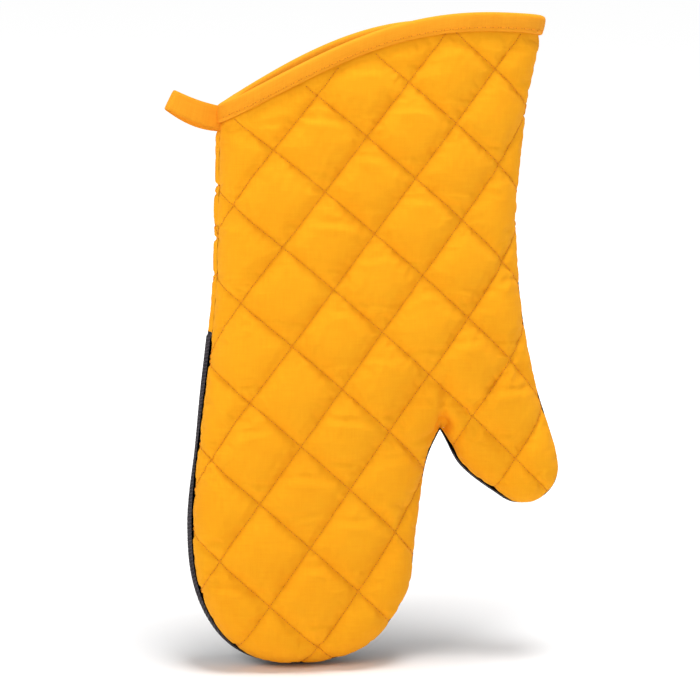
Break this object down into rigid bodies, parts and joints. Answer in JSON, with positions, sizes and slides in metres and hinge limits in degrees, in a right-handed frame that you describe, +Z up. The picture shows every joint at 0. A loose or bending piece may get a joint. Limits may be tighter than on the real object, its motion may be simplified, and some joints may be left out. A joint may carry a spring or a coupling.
{
  "type": "oven mitt",
  "caption": "Padded oven mitt hanging fingers down, with a quilted cotton back, a neoprene palm, a bound mouth and a tape hanging loop; fingers, thumb and loop fold on hinges.",
  "frame": {"origin": "middle of the straight line from corner to corner of the mouth, halfway between back and palm", "axes": "+Z up out of the mouth with the fingers hanging to -Z, +X to the thumb, -Y out of the back of the hand, +Y out of the palm"},
  "size_m": [0.1985, 0.048, 0.3236],
  "materials": {
    "cover_cotton": "matte plain-weave cotton, warm yellow-orange",
    "binding_cotton": "matte cotton tape, a shade deeper than the cover",
    "lining_cotton": "matte plain-weave cotton lining",
    "wadding": "soft white fibre wadding",
    "neoprene": "matte black foam rubber with a fine ribbed face",
    "thread": "polyester sewing thread"
  },
  "bodies": {
    "hand": {"hand_back_cover": "cover_cotton", "hand_back_wadding": "wadding", "hand_back_lining": "lining_cotton", "palm_cuff_cover": "cover_cotton", "palm_cuff_wadding": "wadding", "palm_grip": "neoprene", "palm_wadding": "wadding", "palm_lining": "lining_cotton", "cuff_binding": "binding_cotton", "binding_thread": "thread"},
    "fingers": {"finger_back_cover": "cover_cotton", "finger_back_wadding": "wadding", "finger_back_lining": "lining_cotton", "finger_grip": "neoprene", "finger_palm_wadding": "wadding", "finger_palm_lining": "lining_cotton"},
    "thumb": {"thumb_back_cover": "cover_cotton", "thumb_back_wadding": "wadding", "thumb_back_lining": "lining_cotton", "thumb_grip": "neoprene", "thumb_palm_wadding": "wadding", "thumb_palm_lining": "lining_cotton"},
    "loop": {"hanging_loop": "binding_cotton"}
  },
  "joints": [
    {"name": "finger_fold", "type": "hinge", "parent": "hand", "child": "fingers", "pos_m": [-0.032, 0, -0.182], "axis": [1, 0, 0], "range_deg": [0, 60]},
    {"name": "thumb_fold", "type": "hinge", "parent": "hand", "child": "thumb", "pos_m": [0.0295, 0, -0.182], "axis": [0.8576, 0, 0.5144], "range_deg": [0, 45]},
    {"name": "loop_swing", "type": "hinge", "parent": "hand", "child": "loop", "pos_m": [-0.0854, 0, -0.0285], "axis": [0, 0, 1], "range_deg": [-60, 60]}
  ]
}
